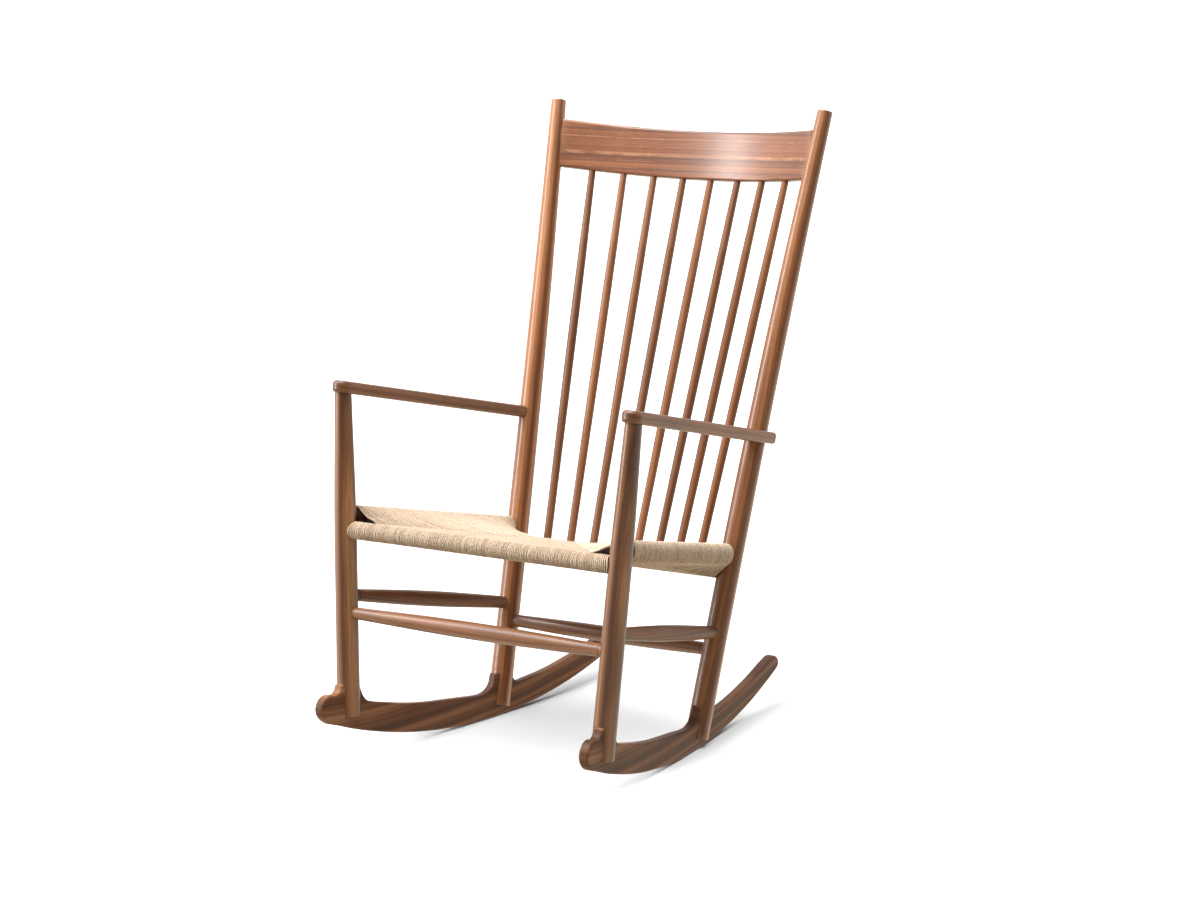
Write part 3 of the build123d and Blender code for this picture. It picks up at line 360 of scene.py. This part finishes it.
class Strands:
    """Collects swept cords into one mesh."""

    def __init__(self, name, sides=8):
        self.name, self.sides = name, sides
        self.verts, self.faces, self.uvs, self.tone, self.count = [], [], [], [], 0

    def add(self, path, radius=CORD_R, tone=None, closed=False):
        path = np.asarray(path, dtype=float)
        keep = np.ones(len(path), bool)
        keep[1:] = np.linalg.norm(np.diff(path, axis=0), axis=1) > 0.05
        path = path[keep]
        m, s = len(path), self.sides
        if closed:
            tangent = np.roll(path, -1, 0) - np.roll(path, 1, 0)
        else:
            tangent = np.gradient(path, axis=0)
        tangent /= np.linalg.norm(tangent, axis=1)[:, None]
        first = np.cross(tangent[0], (0.31, 0.2, 0.93))
        if np.linalg.norm(first) < 0.2:
            first = np.cross(tangent[0], (1.0, 0.0, 0.0))
        normal = np.empty_like(path)
        normal[0] = first / np.linalg.norm(first)
        for i in range(1, m):
            v = normal[i - 1] - tangent[i] * normal[i - 1].dot(tangent[i])
            normal[i] = v / np.linalg.norm(v)
        side = np.cross(tangent, normal)
        a = np.arange(s) * (2 * math.pi / s)
        ring = path[:, None, :] + radius * (np.cos(a)[None, :, None] * normal[:, None, :] + np.sin(a)[None, :, None] * side[:, None, :])
        self.verts.append(ring.reshape(-1, 3))
        t = rng.random() if tone is None else tone
        self.tone.append(np.full(m * s, t))
        along = np.concatenate(([0.0], np.cumsum(np.linalg.norm(np.diff(path, axis=0), axis=1)))) / 1000.0 + rng.random() * 0.01
        last = m if closed else m - 1
        for i in range(last):
            j = (i + 1) % m
            u0, u1 = along[i], (along[j] if j else along[i] + 0.003)
            for c in range(s):
                d = (c + 1) % s
                o = self.count
                self.faces.append((o + i * s + c, o + i * s + d, o + j * s + d, o + j * s + c))
                v0, v1 = c / s, (c + 1) / s
                self.uvs.append((u0, v0, u0, v1, u1, v1, u1, v0))
        if not closed:
            o = self.count
            self.faces.append(tuple(o + c for c in range(s))[::-1])
            self.faces.append(tuple(o + (m - 1) * s + c for c in range(s)))
            self.uvs.append((along[0], 0.0) * s)
            self.uvs.append((along[-1], 0.0) * s)
        self.count += m * s

    def build(self, material):
        me = bpy.data.meshes.new(self.name)
        me.from_pydata(placed(np.concatenate(self.verts)).tolist(), [], self.faces)
        uv = me.uv_layers.new(name="strand")
        uv.data.foreach_set("uv", np.concatenate([np.asarray(f, dtype=np.float32) for f in self.uvs]))
        tone = me.attributes.new("tone", "FLOAT", "POINT")
        tone.data.foreach_set("value", np.concatenate(self.tone).astype(np.float32))
        me.polygons.foreach_set("use_smooth", np.ones(len(me.polygons), bool))
        me.materials.append(material)
        me.validate()
        me.update()
        o = bpy.data.objects.new(self.name, me)
        bpy.context.scene.collection.objects.link(o)
        return o


# seat: the same lines as in the CAD model
FRONT_Y, FRONT_Z = 22.85, 385.0
RAIL_R = 12.0
WRAP = RAIL_R + CORD_R + 0.25
SLOPE = math.atan(0.2112)
REAR_END = (221.2, 441.2)
MITRE_FRONT = {1: (203.0, 45.5), -1: (224.0, 46.0)}  # the hand-laid corners differ a little
MITRE_BACK = (212.0, 438.0)
APEX = (28.0, 260.0)
PITCH = 3.32


def rear_rail(x):
    sag = 20.5 * (1 - (x / REAR_END[0]) ** 2)
    return REAR_END[1] + sag * 0.9622, 298.0 - sag * 0.2723


def side_rail(y):
    t = (y - 24.6) / 428.8
    return 276.6 - 53.7 * t, 408.6 - 84.6 * t


def swell(y):
    """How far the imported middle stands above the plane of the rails."""
    t = min(max((y - 40.0) / 400.0, 0.0), 1.0)
    return 4.6 * math.sin(math.pi * t) ** 1.0


def top_z(y):
    """Centre line of the upper layer."""
    return FRONT_Z - (y - FRONT_Y) * 0.2112 + WRAP / math.cos(SLOPE) + swell(y)


def low_z(y):
    """Centre line of the lower layer: the two layers draw together towards the middle."""
    thick = 31.0 - 17.5 * (y - 46.0) / 215.0 if y < 261.0 else 13.5 + 17.0 * (y - 261.0) / 177.0
    return top_z(y) - min(thick, 31.0) + 2 * CORD_R


def front_mitre(x):
    mx, my = MITRE_FRONT[1 if x > 0 else -1]
    x = abs(x)
    if x <= APEX[0]:
        return APEX[1]
    return my + (mx - x) * (APEX[1] - my) / (mx - APEX[0])


def back_mitre(x):
    x = abs(x)
    if x <= APEX[0]:
        return APEX[1]
    return MITRE_BACK[1] - (MITRE_BACK[0] - x) * (MITRE_BACK[1] - APEX[1]) / (MITRE_BACK[0] - APEX[0])


def side_mitre(y, k=-1):
    if y < APEX[1]:
        mx, my = MITRE_FRONT[k]
        return APEX[0] + (APEX[1] - y) * (mx - APEX[0]) / (APEX[1] - my)
    return APEX[0] + (y - APEX[1]) * (MITRE_BACK[0] - APEX[0]) / (MITRE_BACK[1] - APEX[1])


def arc(centre, radius, a0, a1, n):
    return [(centre[0] + radius * math.cos(a), centre[1] + radius * math.sin(a)) for a in np.linspace(a0, a1, n)]


def run(p, q, step=11.0):
    """Points from p to q, both included."""
    n = max(2, int(math.dist(p, q) / step) + 1)
    return [tuple(np.array(p) + (np.array(q) - np.array(p)) * t) for t in np.linspace(0, 1, n)]


def hull_side(inner_top, inner_low, centre, a, b, n=16):
    """Path of a cord from inner_top over the outside of an oval to inner_low, pulled tight."""

    def tangent(p, sign):
        best, angle = None, 0.0
        for t in np.linspace(-math.pi, math.pi, 721):
            e = (centre[0] + a * math.cos(t), centre[1] + b * math.sin(t))
            k = math.atan2(e[1] - p[1], e[0] - p[0]) * sign
            if best is None or k > best:
                best, angle = k, t
        return angle

    t0, t1 = tangent(inner_top, 1), tangent(inner_low, -1)
    bow = [(centre[0] + a * math.cos(t), centre[1] + b * math.sin(t)) for t in np.linspace(t0, t1, n)]
    return bow


def wander(path, axis, amount, lift):
    path = np.array(path, dtype=float)
    s = np.concatenate(([0.0], np.cumsum(np.linalg.norm(np.diff(path, axis=0), axis=1))))
    f1, f2 = rng.uniform(0.015, 0.045), rng.uniform(0.02, 0.06)
    path[:, axis] += amount * np.sin(rng.random() * 6.28 + f1 * s)
    path[:, 2] += lift * np.sin(rng.random() * 6.28 + f2 * s)
    return path


def front_path(x, top_end, low_end):
    c = (FRONT_Y, FRONT_Z)
    up = math.pi / 2 - SLOPE
    over = arc(c, WRAP, up, up + math.pi, 15)
    yz = [(top_end + 1.6, top_z(top_end) - 7.5), (top_end + 1.2, top_z(top_end) - 3.2), (top_end - 0.6, top_z(top_end) - 0.7)]
    a = top_end - 3.4
    if a > over[0][0] + 2:
        steps = max(2, int((a - over[0][0]) / 12.0) + 1)
        yz += [(y, top_z(y)) for y in np.linspace(a, over[0][0] + 3.0, steps)]
    yz += over
    b = low_end - 3.4
    if b > over[-1][0] + 2:
        # tight from the underside of the roll to the mitre
        steps = max(2, int((b - over[-1][0]) / 14.0) + 1)
        for t in np.linspace(0.0, 1.0, steps)[1:]:
            yz.append((over[-1][0] + (b - over[-1][0]) * t, over[-1][1] + (low_z(b) - over[-1][1]) * t))
    yz += [(low_end - 0.6, low_z(low_end) + 0.7), (low_end + 1.2, low_z(low_end) + 3.2), (low_end + 1.6, low_z(low_end) + 7.5)]
    return [(x, y, z) for y, z in yz]


cords = cord_material("cord_paper")
# cords for the inside of the seat, darkened by 0.88 towards near black as painted shade
inside = cord_material("cord_inside", 0.88)

front = Strands("seat_cords_front")
for i in range(-int(MITRE_FRONT[-1][0] / PITCH), int(MITRE_FRONT[1][0] / PITCH) + 1):
    x = i * PITCH
    y = front_mitre(x)
    front.add(wander(front_path(x + rng.uniform(-0.22, 0.22), y - 0.3, y - 0.3), 0, 0.18, 0.14), CORD_R * rng.uniform(0.94, 1.04))
# turns wound round the rail beside each post, which close the wider front; the last ones hug the post
for k in (1, -1):
    first = (int(MITRE_FRONT[k][0] / PITCH) + 1) * PITCH
    i, ring_x = 0, 254.1
    while ring_x > first - 0.5:
        lean = rng.uniform(-0.25, 0.25)
        wide = WRAP + rng.uniform(-0.1, 0.25)
        loop = []
        for a in np.linspace(0, 2 * math.pi, 28, endpoint=False):
            hug = 275.13 - math.sqrt(21.05**2 - (WRAP * math.cos(a)) ** 2) - 254.1
            loop.append((k * (ring_x + hug * math.exp(-i / 3.0)) + lean * math.sin(a), FRONT_Y + wide * math.cos(a), FRONT_Z + wide * math.sin(a)))
        front.add(loop, CORD_R * rng.uniform(0.96, 1.05), closed=True)
        ring_x -= (254.1 - first) / round((254.1 - first) / PITCH)
        i += 1

GAPS = ((88.0, 3.3), (124.0, 3.0), (170.0, 3.2), (66.0, 1.5), (147.0, 1.4), (221.0, 1.4))
side_pieces = {}
for k, name in ((1, "seat_cords_left"), (-1, "seat_cords_right")):
    s = Strands(name)
    y = MITRE_FRONT[k][1] + CORD_R
    while y < 429.5:
        mx = side_mitre(y, k)
        cx, cz = side_rail(y)
        mx = min(mx, cx - 20.0)
        top_in, low_in = (mx + 3.0, top_z(y) + 0.5), (mx + 3.0, low_z(y) - 0.5)
        bow = hull_side(top_in, low_in, (cx, cz), 12.25 + CORD_R + 0.3, 15.0 + CORD_R + 0.2)
        xz = [(mx - 1.6, top_in[1] - 8.0), (mx - 1.0, top_in[1] - 3.6), (mx + 0.6, top_in[1] - 1.0)]
        xz += run(top_in, bow[0], 12.0)[:-1] + bow + run(bow[-1], low_in, 14.0)[1:]
        xz += [(mx + 0.6, low_in[1] + 1.0), (mx - 1.0, low_in[1] + 3.6), (mx - 1.6, low_in[1] + 8.0)]
        path = []
        y += rng.uniform(-0.2, 0.2)
        slack = (-1.8 if k > 0 else 3.4) * math.exp(-(y - 46.0) / 22.0)
        for x, z in xz:
            t = (x - mx) / (bow[0][0] - mx)
            if z > cz and 0.0 < t < 1.0:
                z -= slack * 4 * t * (1 - t)
            # cords lie square across the sloping rail, and fan a little towards the mitre
            square = (z - cz) * 0.197 * min(1.0, max(0.0, (x - (cx - 34.0)) / 22.0))
            inner = min(1.0, max(0.0, (cx - 15.0 - x) / max(1.0, cx - 15.0 - mx)))
            push = sum(w * inner * math.tanh((y - g) / 2.2) * math.exp(-abs(y - g) / 18.0) for g, w in GAPS) if z > cz else 0.0
            path.append((k * x, y + square + push, z))
        s.add(wander(path, 1, 0.2, 0.16), CORD_R * rng.uniform(0.94, 1.04))
        y += PITCH
    side_pieces[k] = s

rear = Strands("seat_cords_rear")
BAY = [-157.5, -111.8, -67.1, -22.8, 22.8, 67.1, 111.8, 157.5]


def squeezed(x):
    """Where a cord crosses the top of the rear rail: beside the spindles, never through them."""
    clear = 7.4 + CORD_R * 0.9
    edges = [-201.0] + [e for b in BAY for e in (b - clear, b + clear)] + [201.0]
    centres = [-201.0] + [b for b in BAY] + [201.0]
    for j in range(len(centres) - 1):
        if centres[j] <= x <= centres[j + 1]:
            t = (x - centres[j]) / (centres[j + 1] - centres[j])
            lo, hi = edges[2 * j], edges[2 * j + 1]
            return lo + (hi - lo) * t
    return x


rear_x = []
for j in range(len(BAY) - 1):
    a, b = BAY[j], BAY[j + 1]
    rear_x += [a + (b - a) * (i + 0.5) / 12 for i in range(12)]
for k in (1, -1):
    rear_x += [k * (157.5 + (200.0 - 157.5) * (i + 0.5) / 12) for i in range(12)]
for x in sorted(rear_x):
    cy, cz = rear_rail(squeezed(x))
    y0 = back_mitre(x) + 0.3
    up = math.pi / 2 - SLOPE
    wide = WRAP + rng.uniform(-0.1, 0.5)
    over = arc((cy, cz), wide, up, up - math.pi, 15)
    # the layer runs from the mitre to the top of the roll
    ends = top_z(y0), low_z(y0)
    pts = [(y0 - 1.6, ends[0] - 7.5, 0.0), (y0 - 1.2, ends[0] - 3.2, 0.0), (y0 + 0.6, ends[0] - 0.7, 0.0)]
    if over[0][0] - y0 > 8:
        steps = max(2, int((over[0][0] - y0) / 12.0) + 1)
        for t in np.linspace(0.0, 1.0, steps)[:-1]:
            y = y0 + 3.4 + (over[0][0] - y0 - 3.4) * t
            flat = ends[0] + (over[0][1] - ends[0]) * (y - y0) / (over[0][0] - y0)
            z = flat + swell(y) * 0.35 * math.sin(math.pi * t)
            near = max(0.0, 1.0 - (over[0][0] - y) / 70.0)
            pts.append((y, z, near * near * (3 - 2 * near)))
    for i, (y, z) in enumerate(over):
        pts.append((y, z, 1.0 if i < 4 else max(0.0, 1.0 - (i - 3) / 8.0)))
    if over[-1][0] - y0 > 8:
        steps = max(2, int((over[-1][0] - y0) / 14.0) + 1)
        for t in np.linspace(0.0, 1.0, steps)[1:]:
            y = over[-1][0] + (y0 + 3.4 - over[-1][0]) * t
            flat = over[-1][1] + (ends[1] - over[-1][1]) * (over[-1][0] - y) / (over[-1][0] - y0)
            pts.append((y, flat, 0.0))
    pts += [(y0 + 0.6, ends[1] + 0.7, 0.0), (y0 - 1.2, ends[1] + 3.2, 0.0), (y0 - 1.6, ends[1] + 7.5, 0.0)]
    sx = squeezed(x)
    rear.add(wander([(x + (sx - x) * w, y, z) for y, z, w in pts], 0, 0.12, 0.12), CORD_R * rng.uniform(0.94, 1.04))


def core():
    """A sheet between the two layers, which closes the view through the seat; its near-black colour is painted shade of
    the hollow inside.
    """
    ys = np.linspace(58.0, 425.0, 14)
    top, low = [], []
    for y in ys:
        cx, cz = side_rail(y)
        mx = min(side_mitre(y), cx - 30.0)
        row = [-(cx - 13.0), -mx, mx, cx - 13.0]
        hi = [cz + 9.0, top_z(y) - 3.4, top_z(y) - 3.4, cz + 9.0]
        lo = [cz - 9.0, low_z(y) + 3.4, low_z(y) + 3.4, cz - 9.0]
        top.append([(x, y, z) for x, z in zip(row, hi)])
        low.append([(x, y, z) for x, z in zip(row, lo)])
    verts, faces = [], []
    n = len(ys)
    for grid in (top, low):
        for line in grid:
            verts += line
    for i in range(n - 1):
        for j in range(3):
            a = i * 4 + j
            faces.append((a, a + 1, a + 5, a + 4))
            b = n * 4 + a
            faces.append((b, b + 4, b + 5, b + 1))
        a, b = i * 4, n * 4 + i * 4
        faces.append((a, a + 4, b + 4, b))
        faces.append((a + 3, b + 3, b + 7, a + 7))
    for j in range(3):
        faces.append((j, n * 4 + j, n * 4 + j + 1, j + 1))
        e = (n - 1) * 4 + j
        faces.append((e, e + 1, n * 4 + e + 1, n * 4 + e))
    me = bpy.data.meshes.new("seat_packing")
    me.from_pydata(placed(verts).tolist(), [], faces)
    me.uv_layers.new(name="strand")
    me.materials.append(inside)
    o = bpy.data.objects.new("seat_packing", me)
    bpy.context.scene.collection.objects.link(o)
    bm = bmesh.new()
    bm.from_mesh(me)
    bmesh.ops.subdivide_edges(bm, edges=bm.edges, cuts=2, use_grid_fill=True)
    bmesh.ops.recalc_face_normals(bm, faces=bm.faces)
    bm.to_mesh(me)
    bm.free()
    return o


for o in (front.build(cords), side_pieces[1].build(cords), side_pieces[-1].build(cords), rear.build(cords), core()):
    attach(o, "root")
    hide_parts("seat_weave")

# ------------------------------------------------------------ floor, light, camera
floor_mesh = bpy.data.meshes.new("floor")
bm = bmesh.new()
bmesh.ops.create_grid(bm, x_segments=8, y_segments=8, size=120.0)
bm.to_mesh(floor_mesh)
bm.free()
floor = bpy.data.objects.new("floor", floor_mesh)
bpy.context.scene.collection.objects.link(floor)
fm = bpy.data.materials.new("floor_white")
fn = Net(fm)
fc = fn.node("ShaderNodeTexCoord").outputs["Object"]
ft = fn.ramp(fn.noise(fc, 2.0, 3.0), (0.3, (0.118, 0.118, 0.118)), (0.7, (0.122, 0.122, 0.122)))
fs = fn.node("ShaderNodeBsdfPrincipled", Roughness=0.9)
fs.inputs["Specular IOR Level"].default_value = 0.1
fn.tree.links.new(ft, fs.inputs["Base Color"])
fo = fn.node("ShaderNodeOutputMaterial")
fn.tree.links.new(fs.outputs[0], fo.inputs[0])
floor_mesh.materials.append(fm)

AZ, EL = math.radians(33.395), math.radians(9.7557)
right = turned((math.cos(AZ), math.sin(AZ), 0.0))
up = turned((-math.sin(AZ) * math.sin(EL), math.cos(AZ) * math.sin(EL), math.cos(EL)))
back = turned((math.sin(AZ) * math.cos(EL), -math.cos(AZ) * math.cos(EL), math.sin(EL)))
cam_data = bpy.data.cameras.new("camera")
cam_data.sensor_fit = "HORIZONTAL"
cam_data.sensor_width = 36.0
cam_data.lens = 96.085
cam_data.clip_end = 1000.0
cam = bpy.data.objects.new("camera", cam_data)
m = Matrix((right, up, back)).transposed().to_4x4()
m.translation = Vector(placed((2986.61, -4148.57, 1427.15))[0])
cam.matrix_world = m
bpy.context.scene.collection.objects.link(cam)
bpy.context.scene.camera = cam

flat_right = Vector((math.cos(AZ), math.sin(AZ), 0.0))
flat_near = Vector((math.sin(AZ), -math.cos(AZ), 0.0))
TARGET = Vector((0.0, 0.0, 0.55))


def softbox(name, angle, rise, distance, width, height, power, colour=(1, 1, 1)):
    """angle: degrees from the camera towards the picture's left; rise: degrees above the target."""
    a, e = math.radians(angle), math.radians(rise)
    d = flat_near * math.cos(a) * math.cos(e) - flat_right * math.sin(a) * math.cos(e) + Vector((0, 0, math.sin(e)))
    data = bpy.data.lights.new(name, "AREA")
    data.shape, data.size, data.size_y = "RECTANGLE", width, height
    data.energy, data.color = power, colour
    o = bpy.data.objects.new(name, data)
    z = d.normalized()
    x = Vector((0, 0, 1)).cross(z)
    x = x.normalized() if x.length > 0.01 else flat_right
    y = z.cross(x)
    mm = Matrix((x, y, z)).transposed().to_4x4()
    mm.translation = TARGET + d * distance
    o.matrix_world = mm
    o.visible_camera = False
    bpy.context.scene.collection.objects.link(o)
    return o


key = softbox("key_left", 87, 20, 3.2, 0.60, 2.4, 56, (1.0, 1.0, 1.0))
top = softbox("top", 60, 72, 3.0, 2.6, 2.6, 95)
rim = softbox("rim_right", -100, 22, 3.2, 1.2, 2.2, 16, (0.96, 0.98, 1.0))
sun_data = bpy.data.lights.new("sky", "SUN")
sun_data.energy, sun_data.angle = 1.75, math.radians(50)
sun = bpy.data.objects.new("sky", sun_data)
sun_dir = (flat_near * 0.18 - flat_right * 0.46 + Vector((0, 0, 1.0))).normalized()
sun.rotation_euler = sun_dir.to_track_quat("Z", "Y").to_euler()
bpy.context.scene.collection.objects.link(sun)
# the paper of a studio floor throws little light back up at this distance from the lamps
floor.visible_diffuse = False
floor.visible_glossy = False
# flags keep the lamps that model the wood off the floor, which has its own broad overhead light
flag = bpy.data.collections.new("floor_flag")
flag.objects.link(floor)
flag.collection_objects[0].light_linking.link_state = "EXCLUDE"
for lamp in (rim, key, top, sun):
    lamp.light_linking.receiver_collection = flag
only = bpy.data.collections.new("floor_only")
only.objects.link(floor)
for name, energy, angle, toward_lamp in (
    ("floor_light", 33.0, 66, flat_near * 0.42 - flat_right * 0.06 + Vector((0, 0, 1.0))),
    ("floor_light_low", 58.0, 16, Vector((0, -1.0, 0.25))),
    ("floor_light_back", 4.0, 50, flat_near * -0.30 - flat_right * 0.50 + Vector((0, 0, 1.0))),
):
    wide_data = bpy.data.lights.new(name, "SUN")
    wide_data.energy, wide_data.angle = energy, math.radians(angle)
    wide = bpy.data.objects.new(name, wide_data)
    wide.rotation_euler = toward_lamp.to_track_quat("Z", "Y").to_euler()
    bpy.context.scene.collection.objects.link(wide)
    wide.light_linking.receiver_collection = only

world = bpy.data.worlds.new("studio")
bpy.context.scene.world = world
wn = Net(world)
wc = wn.node("ShaderNodeTexCoord").outputs["Generated"]
dot = wn.node("ShaderNodeVectorMath", {"operation": "DOT_PRODUCT"}, i1=tuple(flat_near))
wn.tree.links.new(wc, dot.inputs[0])
height = wn.node("ShaderNodeSeparateXYZ")
wn.tree.links.new(wc, height.inputs[0])
low_down = wn.span(height.outputs[2], 0.30, 0.75, 1.0, 0.0)
toward = wn.math("MULTIPLY", wn.span(dot.outputs["Value"], 0.05, 0.75, 0.0, 1.0), low_down)
below = wn.span(height.outputs[2], -0.12, 0.0, 1.0, 0.0)
bg = wn.node("ShaderNodeBackground")
shade = wn.mix(wn.math("MULTIPLY", toward, 0.93), (1.0, 1.0, 1.0), (0.0, 0.0, 0.0))
rightward = wn.node("ShaderNodeVectorMath", {"operation": "DOT_PRODUCT"}, i1=tuple(flat_right))
wn.tree.links.new(wc, rightward.inputs[0])
shade = wn.mix(wn.span(rightward.outputs["Value"], 0.38, 0.80, 0.0, 0.60), shade, (0.0, 0.0, 0.0))
shade = wn.mix(below, shade, wn.mix(wn.math("MULTIPLY", toward, 0.35), (1.0, 0.91, 0.76), (0.0, 0.0, 0.0)))
wn.tree.links.new(shade, bg.inputs["Color"])
bg.inputs["Strength"].default_value = 1.0
wo = wn.node("ShaderNodeOutputWorld")
wn.tree.links.new(bg.outputs[0], wo.inputs[0])

view = bpy.context.scene.view_settings
view.view_transform = "Standard"
view.look = "None"
view.exposure = 0.0
